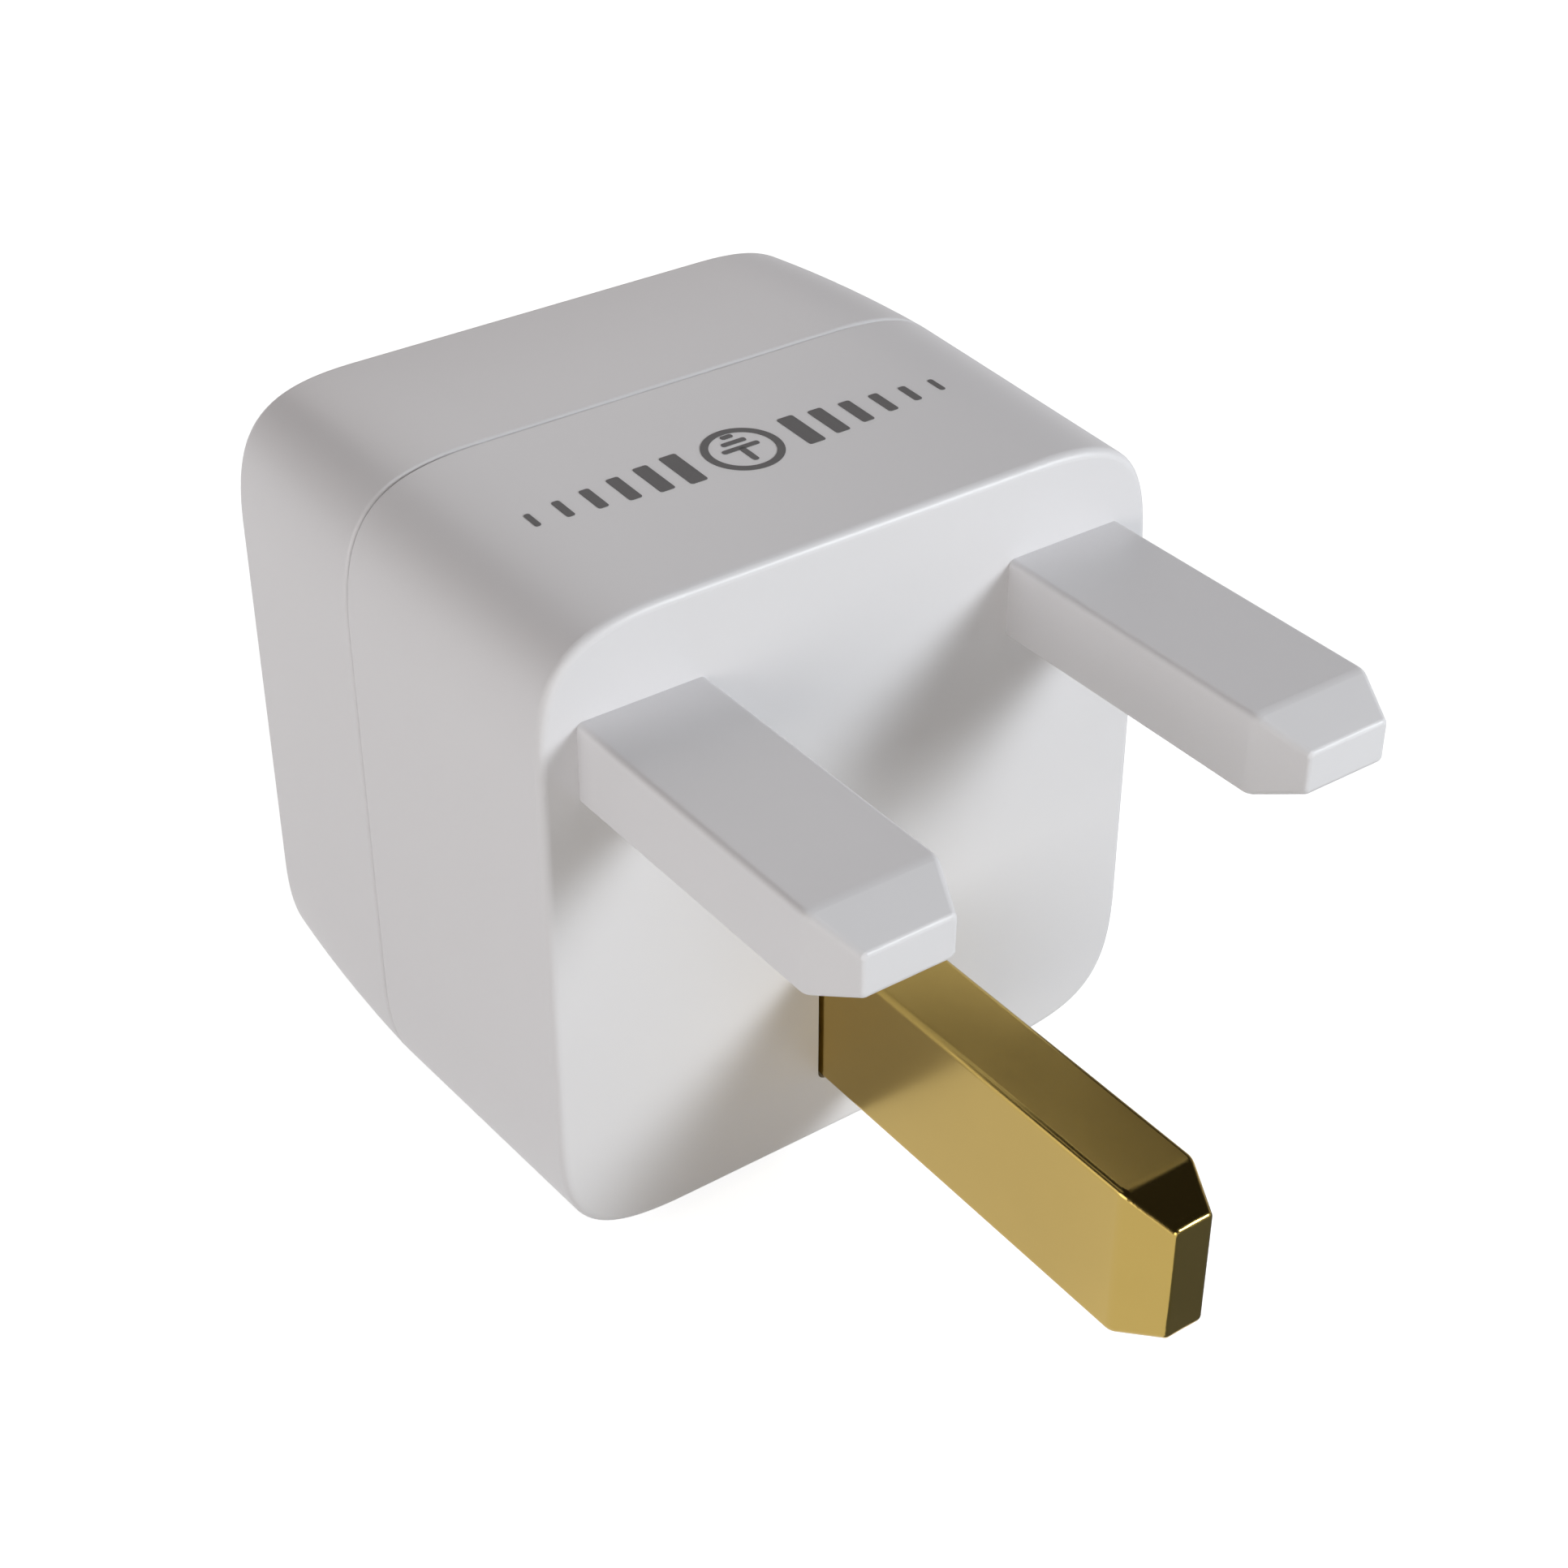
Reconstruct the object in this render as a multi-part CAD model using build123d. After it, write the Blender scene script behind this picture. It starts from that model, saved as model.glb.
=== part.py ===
from build123d import *
import os
from math import radians, sqrt, tan

# Grounding plug adapter. Sizes are in millimetres.
# X runs across the pin face, Y from the pin face into the body and Z up.
# The origin is the middle of the pin face, and the pins point along -Y.

# Outline of the case: a square whose corners blend smoothly into its sides
case_width = 32.1
corner_reach = 6.45
corner_pull = 1.51
corner_growth = 1.1

# Front half of the case, which holds the pins
shell_depth = 14.85
shell_draft = 1.95
case_wall = 2.0
face_wall = 2.4
front_edge_round = 0.4
shell_rim_round = 0.08

# Rear cover, whose sides curve gently inward
cover_depth = 11.55
cover_side_radius = 110.0
back_wall = 2.0
back_edge_round = 0.5
cover_rim_round = 0.2

# Lap joint: the cover's lip slides inside the shell's rim
seam_gap = 0.12
lap_depth = 2.8
lap_wall = 1.0
lap_clearance = 0.1

# Snap hooks on the cover and their windows in the shell
hook_spacing = 14.0
hook_width = 5.0
hook_thickness = 1.1
hook_reach = 3.45
hook_catch = 0.6
hook_ledge = 0.95
hook_ramp = 1.6
hook_root_depth = 5.0
hook_clearance = 0.1

# Line and neutral pins, moulded in one with the shell
pin_spacing = 22.2
line_pin_level = 9.86
line_pin_width = 6.25
line_pin_height = 3.9
line_pin_length = 17.6
pin_core_wall = 1.3
pin_core_draft = 0.2
pin_pad_wall = 0.8
pin_pad_height = 2.5

# Earth pin
earth_pin_drop = 18.46
earth_pin_width = 3.95
earth_pin_height = 7.9
earth_pin_length = 22.6
earth_slot_clearance = 0.15
flange_overhang = 1.1
flange_side_overhang = 1.3
flange_thickness = 1.8
earth_tail_end = 13.6
terminal_depth = 10.8

# Shape of every pin
pin_edge_round = 0.3
pin_tip_length = 2.35
pin_tip_inset = 0.95
pin_end_round = 0.25
pin_shoulder_round = 1.0

# Retainer bar that clamps the earth pin's flange
pocket_wall = 1.2
pocket_clearance = 0.15
boss_spacing = 16.8
boss_diameter = 5.0
boss_lift = 1.8
bar_thickness = 1.8
bar_end_diameter = 5.6
bar_arm_width = 4.4
bar_edge_chamfer = 0.4
bar_clearance = 0.15
retainer_screw_diameter = 2.5
retainer_screw_length = 6.2
retainer_head_diameter = 4.6
retainer_head_height = 1.7
screw_hole_floor = 1.2
thread_clearance = 0.02
screw_clearance = 0.15

# Terminal screw, lock washer and ring terminal on the earth pin's tail
terminal_screw_diameter = 3.0
terminal_screw_length = 6.5
terminal_head_diameter = 5.4
terminal_head_height = 2.0
drive_width = 0.7
drive_depth = 0.9
lock_washer_diameter = 5.2
lock_washer_thickness = 0.7
lock_washer_split = 0.5
ring_diameter = 5.6
ring_thickness = 0.8
crimp_diameter = 2.8
crimp_length = 3.6
crimp_neck = 1.0

# Bonding lead and its safety resistor
conductor_diameter = 0.9
insulation_diameter = 1.6
crimp_clearance = 0.05
crimp_dent = 0.3
lead_straight = 0.85
resistor_side_gap = 5.55
resistor_level = 1.5
resistor_body_length = 6.5
resistor_body_diameter = 2.3
resistor_cap_diameter = 2.6
resistor_cap_length = 1.5
resistor_wire_diameter = 0.6
resistor_wire_bend = 1.0
resistor_wire_stub = 0.6
insulation_stub = 1.2
sleeve_wall = 0.35
sleeve_clearance = 0.1
sleeve_neck_clearance = 0.05
sleeve_shoulder = 1.1
sleeve_tail = 2.6
cradle_gap = 0.5
cradle_spacing = 5.0
cradle_thickness = 1.2
cradle_wall = 1.2
cradle_clearance = 0.1

# Lead socket in the back wall
socket_bore = 4.0
socket_bore_depth = 14.0
socket_mouth_chamfer = 0.35
socket_thread_diameter = 6.0
socket_thread_length = 9.0
socket_body_diameter = 5.4
socket_drill_angle = 59.0
socket_length = 15.6
socket_head_diameter = 7.6
socket_head_thickness = 1.0
socket_recess = 0.3
collar_diameter = 10.4
collar_thickness = 1.8
collar_sleeve_diameter = 8.2
collar_sleeve_flats = 7.4
collar_edge_round = 0.3
socket_clearance = 0.1
boss_wall = 2.0
socket_boss_diameter = 14.0
inner_washer_diameter = 11.4
inner_washer_thickness = 1.0
tag_diameter = 9.4
tag_thickness = 0.5
tag_reach = 8.2
tag_tongue_width = 3.0
tag_hole_diameter = 1.1
tooth_washer_diameter = 9.4
tooth_washer_thickness = 0.6
tooth_count = 12
tooth_depth = 0.9
socket_nut_flats = 10.0
socket_nut_chamfer = 0.5
socket_nut_thickness = 2.4
gusset_thickness = 1.0
gusset_height = 1.2

# Places that several pieces share
lap_floor = shell_depth - lap_depth
case_depth = shell_depth + cover_depth
inside_back = case_depth - back_wall
hook_tip = lap_floor - hook_reach
earth_level = line_pin_level - earth_pin_drop
flange_top = face_wall + flange_thickness
boss_top = flange_top + boss_lift
bar_top = boss_top + bar_thickness
flange_width = earth_pin_width + 2 * flange_side_overhang
flange_height = earth_pin_height + 2 * flange_overhang
terminal_side = earth_pin_width / 2
terminal_stack = ring_thickness + lock_washer_thickness
lead_offset = terminal_side + crimp_diameter / 2
crimp_start = terminal_depth + ring_diameter / 2 + crimp_neck
crimp_end = crimp_start + crimp_length
resistor_offset = case_width / 2 - resistor_side_gap
sleeve_bore = resistor_cap_diameter / 2 + sleeve_clearance
sleeve_radius = sleeve_bore + sleeve_wall
cradle_radius = sleeve_radius + cradle_clearance
resistor_depth = inside_back - cradle_gap - cradle_radius
lead_rise = resistor_depth - crimp_end - lead_straight
lead_crossing = resistor_offset - lead_offset - lead_straight
lead_bend = min(lead_rise, lead_crossing / 2)
resistor_base = resistor_level - resistor_body_length / 2
resistor_top = resistor_level + resistor_body_length / 2
conductor_top = resistor_base - resistor_wire_stub
insulation_top = resistor_base - insulation_stub
socket_face = case_depth - socket_recess
socket_end = socket_face - socket_length
head_seat = socket_face - socket_head_thickness
collar_seat = socket_face - collar_thickness
boss_seat = collar_seat - boss_wall
tag_back = boss_seat - inner_washer_thickness
tag_front = tag_back - tag_thickness
tooth_front = tag_front - tooth_washer_thickness
nut_front = tooth_front - socket_nut_thickness
washer_hole = socket_thread_diameter + 2 * socket_clearance


def at_depth(depth):
    """Plane parallel to the pin face, with X across and Z up."""
    return Plane.XZ.offset(-depth)


def prism(sketch, front, back):
    """Straight solid of an outline, from one depth to another."""
    return extrude(at_depth(back) * sketch, amount=back - front)


def rod(diameter, front, back):
    """Round bar along Y."""
    return prism(Circle(diameter / 2), front, back)


def shell_growth(depth):
    """How far the drafted shell stands out beyond the pin face's outline."""
    return depth * tan(radians(shell_draft))


def cover_growth(depth):
    """How far the curved cover stands out beyond the pin face's outline."""
    run = depth - shell_depth
    fall = cover_side_radius - sqrt(cover_side_radius**2 - run**2)
    return shell_growth(shell_depth) - fall


def case_outline(growth):
    """Outline of the case, larger or smaller all round by the growth."""
    half = case_width / 2 + growth
    reach = corner_reach + corner_growth * growth
    pull = corner_pull * reach / corner_reach
    side = Line((half, reach - half), (half, half - reach))
    corner = Bezier(
        (half, half - reach),
        (half, half - pull),
        (half - pull, half),
        (half - reach, half),
    )
    quarter = Curve() + [side, corner]
    return make_face(Curve() + [Rot(0, 0, 90 * turn) * quarter for turn in range(4)])


def shell_block(front, back, inset):
    """Solid with the shell's drafted sides, moved inward by the inset."""
    ends = [at_depth(depth) * case_outline(shell_growth(depth) - inset) for depth in (front, back)]
    return loft(ends, ruled=True)


def cover_block(front, back, inset):
    """Solid with the cover's curved sides, moved inward by the inset."""
    stations = [front + (back - front) * step / 3 for step in range(4)]
    return loft([at_depth(depth) * case_outline(cover_growth(depth) - inset) for depth in stations])


def pin_blade(width, height, length, root):
    """Pin with rounded edges, soft shoulders and four tapered flats at its tip."""
    full = RectangleRounded(width, height, pin_edge_round)
    tip = RectangleRounded(width - 2 * pin_tip_inset, height - 2 * pin_tip_inset, pin_edge_round)
    shoulder = pin_tip_length - length
    taper = loft([at_depth(shoulder) * full, at_depth(-length) * tip], ruled=True)
    blade = prism(full, shoulder, root) + taper
    blade = fillet(blade.edges().group_by(Axis.Y)[0], pin_end_round)
    near_shoulder = (shoulder - pin_edge_round, shoulder + pin_edge_round)
    return fillet(blade.edges().filter_by_position(Axis.Y, *near_shoulder), pin_shoulder_round)


def pan_head_screw(diameter, length, head_diameter, head_height):
    """Screw along Z with its head above the origin, a domed top and a cross recess."""
    rim = head_height * 2 / 3
    point = diameter / 8
    sides = Polyline(
        (0, -length),
        (diameter / 2 - point, -length),
        (diameter / 2, point - length),
        (diameter / 2, 0),
        (head_diameter / 2, 0),
        (head_diameter / 2, rim),
    )
    crown = SagittaArc((head_diameter / 2, rim), (0, head_height), head_height / 12)
    axis_line = Line((0, head_height), (0, -length))
    screw = revolve(Plane.XZ * make_face(Curve() + [sides, crown, axis_line]), Axis.Z)
    cross = Rectangle(head_diameter / 2, drive_width) + Rectangle(drive_width, head_diameter / 2)
    return screw - extrude(Pos(0, 0, head_height - drive_depth) * cross, amount=head_height)


def front_housing():
    """Front half of the case with both moulded pins, the earth pin's pocket and the rim."""
    shell = shell_block(0, shell_depth, 0)
    shell = fillet(shell.edges().group_by(Axis.Y)[0], front_edge_round)
    shell = fillet(shell.edges().group_by(Axis.Y)[-1], shell_rim_round)
    shell = shell - shell_block(face_wall, lap_floor + lap_depth / 2, case_wall)
    shell = shell - shell_block(lap_floor, shell_depth + lap_depth, lap_wall)
    shell = shell + (housing_ribs() & shell_block(face_wall / 2, lap_floor, case_wall / 2))
    screw_hole = rod(retainer_screw_diameter + 2 * thread_clearance, screw_hole_floor, lap_floor)
    for side in (-1, 1):
        place = Pos(side * pin_spacing / 2, 0, line_pin_level)
        shell = shell + place * pin_blade(line_pin_width, line_pin_height, line_pin_length, face_wall)
        shell = shell - place * pin_core()
        shell = shell - Pos(side * boss_spacing / 2, 0, earth_level) * screw_hole
    slot = RectangleRounded(
        earth_pin_width + 2 * earth_slot_clearance,
        earth_pin_height + 2 * earth_slot_clearance,
        pin_edge_round + earth_slot_clearance,
    )
    pocket = RectangleRounded(
        flange_width + 2 * pocket_clearance,
        flange_height + 2 * pocket_clearance,
        pin_edge_round + pocket_clearance,
    )
    shell = shell - Pos(0, 0, earth_level) * prism(slot, -face_wall, face_wall + pocket_wall)
    shell = shell - Pos(0, 0, earth_level) * prism(pocket, face_wall, lap_floor)
    return shell - at_hooks(hook_window())


def housing_ribs():
    """Bosses, pocket wall, webs and pin pads that stand on the inside of the pin face."""
    base = face_wall / 2
    pocket = RectangleRounded(
        flange_width + 2 * (pocket_clearance + pocket_wall),
        flange_height + 2 * (pocket_clearance + pocket_wall),
        pocket_wall,
    )
    pad = RectangleRounded(
        line_pin_width + 2 * pin_pad_wall,
        line_pin_height + 2 * pin_pad_wall,
        pin_pad_wall,
    )
    web = Rectangle(2 * case_width, pocket_wall)
    ribs = Pos(0, 0, earth_level) * prism(pocket, base, flange_top)
    ribs = ribs + Pos(0, 0, earth_level) * prism(web, base, flange_top)
    for side in (-1, 1):
        ribs = ribs + Pos(side * boss_spacing / 2, 0, earth_level) * rod(boss_diameter, base, boss_top)
        place = Pos(side * pin_spacing / 2, 0, line_pin_level)
        ribs = ribs + place * prism(pad, base, face_wall + pin_pad_height)
    return ribs


def pin_core():
    """Tapered core that leaves a moulded pin hollow, open to the inside of the case."""
    width = line_pin_width - 2 * pin_core_wall
    height = line_pin_height - 2 * pin_core_wall
    wide = Rectangle(width + 2 * pin_core_draft, height + 2 * pin_core_draft)
    narrow = Rectangle(width, height)
    mouth = face_wall + pin_pad_height + pin_pad_wall
    bottom = pin_tip_length + pin_core_wall - line_pin_length
    return loft([at_depth(mouth) * wide, at_depth(bottom) * narrow], ruled=True)


def at_hooks(shape):
    """The shape at each of the four hook places, two at the top wall and two at the bottom."""
    top = [Pos(side * hook_spacing / 2, 0, 0) * shape for side in (-1, 1)]
    return top + [mirror(copy, about=Plane.XY) for copy in top]


def hook_window():
    """Recess in the top wall that a hook's barb snaps into."""
    inner_face = case_width / 2 + shell_growth(hook_tip) - case_wall
    opening = Rectangle(hook_width + 4 * hook_clearance, 2 * (hook_catch + hook_clearance))
    return prism(Pos(0, inner_face) * opening, hook_tip, lap_floor - hook_ledge)


def snap_hook():
    """Springy hook that reaches from the cover's wall to its window, at the top wall."""
    outside = case_width / 2 + shell_growth(hook_tip) - case_wall - hook_clearance
    inside = outside - hook_thickness
    barb = outside + hook_catch
    catch = lap_floor - hook_ledge - hook_clearance
    root = lap_floor + hook_clearance
    lip_middle = case_width / 2 + shell_growth(lap_floor) - (case_wall + lap_wall) / 2
    root_end = root + hook_root_depth
    side_view = Polyline(
        (root_end, inside),
        (hook_tip, inside),
        (hook_tip, outside - hook_clearance),
        (hook_tip + hook_ramp, barb),
        (catch, barb),
        (catch, outside),
        (root, outside),
        (root, lip_middle),
        (root_end + hook_thickness, lip_middle),
        (root_end, inside),
    )
    return extrude(Plane.YZ.offset(-hook_width / 2) * make_face(side_view), amount=hook_width)


def rear_cover():
    """Cover with its lip, snap hooks, socket boss, gussets and resistor cradles."""
    rim = shell_depth + seam_gap
    cover = cover_block(rim, case_depth, 0)
    cover = fillet(cover.edges().group_by(Axis.Y)[-1], back_edge_round)
    cover = fillet(cover.edges().group_by(Axis.Y)[0], cover_rim_round)
    cover = cover - cover_block(shell_depth, inside_back, case_wall)
    lip = shell_block(lap_floor, rim + lap_wall, lap_wall + lap_clearance)
    cover = cover + (lip - shell_block(lap_floor - lap_wall, rim + 2 * lap_wall, case_wall))
    cover = cover + (cover_ribs() & cover_block(shell_depth, inside_back + back_wall / 2, case_wall / 2))
    for hook in at_hooks(snap_hook()):
        cover = cover + hook
    cover = cover - prism(socket_key(socket_clearance), boss_seat - boss_wall, case_depth)
    return cover - rod(collar_diameter + 2 * socket_clearance, collar_seat, case_depth + back_wall)


def cover_ribs():
    """Socket boss, crossed gussets and two resistor cradles inside the back wall."""
    base = inside_back + back_wall / 2
    ribs = rod(socket_boss_diameter, boss_seat, base)
    gusset = prism(Rectangle(2 * case_width, gusset_thickness), inside_back - gusset_height, base)
    for turn in (45, -45):
        ribs = ribs + Rot(0, turn, 0) * gusset
    cradle = prism(
        Rectangle(2 * (cradle_radius + cradle_wall), cradle_thickness),
        resistor_depth - cradle_radius / 2,
        base,
    )
    for side in (-1, 1):
        ribs = ribs + Pos(resistor_offset, 0, resistor_level + side * cradle_spacing / 2) * cradle
    seat = Pos(resistor_offset, resistor_depth, resistor_level) * Cylinder(cradle_radius, 2 * cradle_spacing)
    return ribs - seat


def socket_key(clearance):
    """Round outline with two flats, which stops the socket's collar from turning."""
    flats = collar_sleeve_flats + 2 * clearance
    return Circle(collar_sleeve_diameter / 2 + clearance) & Rectangle(2 * collar_diameter, flats)


def earth_pin():
    """Earth pin with the flange that holds it in the case and the drilled tail of its terminal."""
    pin = pin_blade(earth_pin_width, earth_pin_height, earth_pin_length, earth_tail_end)
    pin = pin + prism(RectangleRounded(flange_width, flange_height, pin_edge_round), face_wall, flange_top)
    pin = chamfer(pin.edges().group_by(Axis.Y)[-1], pin_edge_round)
    hole = Cylinder(terminal_screw_diameter / 2 + thread_clearance, 2 * flange_width)
    return Pos(0, 0, earth_level) * (pin - Pos(0, terminal_depth, 0) * Rot(0, 90, 0) * hole)


def earth_pin_retainer():
    """Moulded bar that presses the earth pin's flange into its pocket."""
    middle = RectangleRounded(
        flange_width + 2 * pocket_wall,
        flange_height + 2 * bar_clearance,
        pocket_wall,
    )
    outline = middle + Rectangle(boss_spacing, bar_arm_width)
    for side in (-1, 1):
        outline = outline + Pos(side * boss_spacing / 2, 0) * Circle(bar_end_diameter / 2)
    bar = prism(outline, boss_top, bar_top)
    bar = chamfer(bar.edges().group_by(Axis.Y)[-1], bar_edge_chamfer)
    bar = bar + prism(RectangleRounded(flange_width, flange_height, pin_edge_round), flange_top, boss_top)
    tail_slot = Rectangle(earth_pin_width + 2 * bar_clearance, earth_pin_height + 2 * bar_clearance)
    bar = bar - prism(tail_slot, face_wall, lap_floor)
    hole = rod(retainer_screw_diameter + 2 * screw_clearance, face_wall, lap_floor)
    for side in (-1, 1):
        bar = bar - Pos(side * boss_spacing / 2, 0, 0) * hole
    return Pos(0, 0, earth_level) * bar


def retainer_screws():
    """Pair of screws through the retainer bar into the shell's bosses."""
    screw = pan_head_screw(
        retainer_screw_diameter,
        retainer_screw_length,
        retainer_head_diameter,
        retainer_head_height,
    )
    places = [Pos(side * boss_spacing / 2, bar_top, earth_level) for side in (-1, 1)]
    return Compound(children=[place * Rot(-90, 0, 0) * screw for place in places])


def at_terminal(lift):
    """Place on the terminal screw's axis, at a height above the side of the earth pin's tail."""
    return Pos(terminal_side + lift, terminal_depth, earth_level) * Rot(0, 90, 0)


def terminal_screw():
    """Screw that clamps the ring terminal to the earth pin's tail."""
    screw = pan_head_screw(
        terminal_screw_diameter,
        terminal_screw_length,
        terminal_head_diameter,
        terminal_head_height,
    )
    return at_terminal(terminal_stack) * screw


def terminal_lock_washer():
    """Split spring washer under the terminal screw's head."""
    ring = Circle(lock_washer_diameter / 2) - Circle(terminal_screw_diameter / 2 + screw_clearance)
    split = Pos(0, lock_washer_diameter / 2) * Rotation(0, 0, 20) * Rectangle(
        lock_washer_split, lock_washer_diameter
    )
    return at_terminal(ring_thickness) * extrude(ring - split, amount=lock_washer_thickness)


def ring_terminal():
    """Flat ring with a tapered neck and a crimped barrel for the bonding lead."""
    neck_length = ring_diameter / 2 + crimp_neck
    neck = make_face(
        Polyline(
            (-ring_diameter / 3, 0),
            (ring_diameter / 3, 0),
            (crimp_diameter / 2, neck_length),
            (crimp_diameter / 2, neck_length + ring_thickness),
            (-crimp_diameter / 2, neck_length + ring_thickness),
            (-crimp_diameter / 2, neck_length),
            (-ring_diameter / 3, 0),
        )
    )
    hole = Circle(terminal_screw_diameter / 2 + screw_clearance)
    plate = extrude(Circle(ring_diameter / 2) + neck - hole, amount=ring_thickness)
    plate = at_terminal(0) * plate
    barrel = rod(crimp_diameter, crimp_start, crimp_end)
    bore = rod(conductor_diameter + 2 * crimp_clearance, crimp_start - ring_thickness, crimp_end + crimp_neck)
    dent = Cylinder(crimp_length / 4, crimp_diameter)
    dent_lift = crimp_diameter / 2 + crimp_length / 4 - crimp_dent
    place = Pos(lead_offset, 0, earth_level)
    terminal = plate + place * barrel - place * bore
    return terminal - place * Pos(dent_lift, (crimp_start + crimp_end) / 2, 0) * dent


def swept_wire(points, bend, diameter):
    """Round wire along straight runs joined by arcs."""
    route = FilletPolyline(*points, radius=bend)
    return sweep((route ^ 0) * Circle(diameter / 2), path=route)


def lead_route(start, top):
    """Corners of the bonding lead, from the crimped barrel round to the resistor."""
    return [
        (lead_offset, start, earth_level),
        (lead_offset, resistor_depth, earth_level),
        (resistor_offset, resistor_depth, earth_level),
        (resistor_offset, resistor_depth, top),
    ]


def lead_conductor():
    """Copper core of the bonding lead, bare in the barrel and at the resistor."""
    return swept_wire(lead_route(crimp_start + crimp_clearance, conductor_top), lead_bend, conductor_diameter)


def lead_insulation():
    """Insulation of the bonding lead."""
    points = lead_route(crimp_end, insulation_top)
    bore = conductor_diameter + 2 * thread_clearance
    return swept_wire(points, lead_bend, insulation_diameter) - swept_wire(points, lead_bend, bore)


def safety_resistor():
    """Resistor with swaged end caps and the wire that runs to the solder tag."""
    end = resistor_cap_length / 2
    body = Cylinder(resistor_body_diameter / 2, resistor_body_length - end)
    for side in (-1, 1):
        cap = Cylinder(resistor_cap_diameter / 2, resistor_cap_length)
        cap = fillet(cap.edges().filter_by(GeomType.CIRCLE), end / 2)
        body = body + Pos(0, 0, side * (resistor_body_length / 2 - end)) * cap
    resistor = Pos(resistor_offset, resistor_depth, resistor_level) * body
    wire_end = tag_front - resistor_wire_diameter
    upper = [
        (resistor_offset, resistor_depth, resistor_level),
        (resistor_offset, resistor_depth, tag_reach),
        (0, resistor_depth, tag_reach),
        (0, wire_end, tag_reach),
    ]
    lower = Pos(resistor_offset, resistor_depth, (resistor_level + conductor_top) / 2)
    stub = Cylinder(resistor_wire_diameter / 2, resistor_level - conductor_top)
    return resistor + swept_wire(upper, resistor_wire_bend, resistor_wire_diameter) + lower * stub


def resistor_sleeve():
    """Heat-shrunk sleeve over the resistor, drawn in at both ends."""
    lower_neck = insulation_diameter / 2 + sleeve_neck_clearance
    upper_neck = resistor_wire_diameter / 2 + sleeve_neck_clearance
    heights = [
        resistor_base - sleeve_tail,
        resistor_base - sleeve_shoulder,
        resistor_base,
        resistor_top,
        resistor_top + sleeve_shoulder,
        resistor_top + 2 * sleeve_shoulder,
    ]
    radii = [lower_neck, lower_neck, sleeve_bore, sleeve_bore, upper_neck, upper_neck]
    inner = list(zip(radii, heights))
    outer = [(radius + sleeve_wall, height) for radius, height in reversed(inner)]
    section = make_face(Polyline(*inner, *outer, inner[0]))
    return Pos(resistor_offset, resistor_depth, 0) * revolve(Plane.XZ * section, Axis.Z)


def socket_contact():
    """Turned socket with a flanged head, a threaded body and a blind bore."""
    contact = rod(socket_head_diameter, head_seat, socket_face)
    contact = contact + rod(socket_thread_diameter, head_seat - socket_thread_length, head_seat)
    contact = contact + rod(socket_body_diameter, socket_end, head_seat)
    contact = chamfer(contact.edges().group_by(Axis.Y)[0], socket_mouth_chamfer)
    contact = contact - rod(socket_bore, socket_face - socket_bore_depth, socket_face + socket_bore)
    point_height = socket_bore / 2 / tan(radians(socket_drill_angle))
    point = Cone(0, socket_bore / 2, point_height)
    contact = contact - Pos(0, socket_face - socket_bore_depth - point_height / 2, 0) * Rot(-90, 0, 0) * point
    mouth = contact.edges().group_by(Axis.Y)[-1].sort_by(SortBy.RADIUS)[0]
    return chamfer(mouth, socket_mouth_chamfer)


def socket_collar():
    """Insulating collar between the socket and the back wall, with its keyed sleeve."""
    collar = rod(collar_diameter, collar_seat, socket_face)
    collar = fillet(collar.edges().group_by(Axis.Y)[-1], collar_edge_round)
    collar = collar + prism(socket_key(0), boss_seat + socket_clearance, collar_seat)
    collar = collar - rod(socket_head_diameter + 2 * socket_clearance, head_seat, case_depth)
    return collar - rod(washer_hole, tag_back, case_depth)


def socket_inner_washer():
    """Insulating washer between the back wall's boss and the solder tag."""
    washer = prism(Circle(inner_washer_diameter / 2) - Circle(washer_hole / 2), tag_back, boss_seat)
    return chamfer(washer.edges().group_by(Axis.Y)[0].sort_by(SortBy.RADIUS)[-1], collar_edge_round)


def solder_tag():
    """Ring tag whose tongue carries the resistor's wire."""
    tongue = Pos(0, tag_reach / 2) * Rectangle(tag_tongue_width, tag_reach)
    tongue = tongue + Pos(0, tag_reach) * Circle(tag_tongue_width / 2)
    tag = Circle(tag_diameter / 2) + tongue - Circle(washer_hole / 2)
    return prism(tag - Pos(0, tag_reach) * Circle(tag_hole_diameter / 2), tag_front, tag_back)


def socket_lock_washer():
    """Lock washer with teeth round its rim."""
    washer = Circle(tooth_washer_diameter / 2) - Circle(washer_hole / 2)
    notch = Rectangle(tooth_depth, 2 * tooth_depth)
    turn = 360 / tooth_count
    for tooth in range(tooth_count):
        washer = washer - Rot(0, 0, tooth * turn) * Pos(0, tooth_washer_diameter / 2) * notch
    return prism(washer, tooth_front, tag_front)


def socket_nut():
    """Hexagon nut with both rims turned down at the corners."""
    corner_radius = socket_nut_flats / sqrt(3)
    nut = prism(RegularPolygon(corner_radius, 6), nut_front, tooth_front)
    turned = rod(2 * corner_radius, nut_front, tooth_front)
    turned = chamfer(turned.edges().filter_by(GeomType.CIRCLE), socket_nut_chamfer)
    return (nut & turned) - rod(socket_thread_diameter + 2 * thread_clearance, nut_front, tooth_front)


pieces = {
    "front_housing": front_housing(),
    "rear_cover": rear_cover(),
    "earth_pin": earth_pin(),
    "earth_pin_retainer": earth_pin_retainer(),
    "retainer_screws": retainer_screws(),
    "terminal_screw": terminal_screw(),
    "terminal_lock_washer": terminal_lock_washer(),
    "ring_terminal": ring_terminal(),
    "lead_conductor": lead_conductor(),
    "lead_insulation": lead_insulation(),
    "safety_resistor": safety_resistor(),
    "resistor_sleeve": resistor_sleeve(),
    "socket_contact": socket_contact(),
    "socket_collar": socket_collar(),
    "socket_inner_washer": socket_inner_washer(),
    "solder_tag": solder_tag(),
    "socket_lock_washer": socket_lock_washer(),
    "socket_nut": socket_nut(),
}

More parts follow.
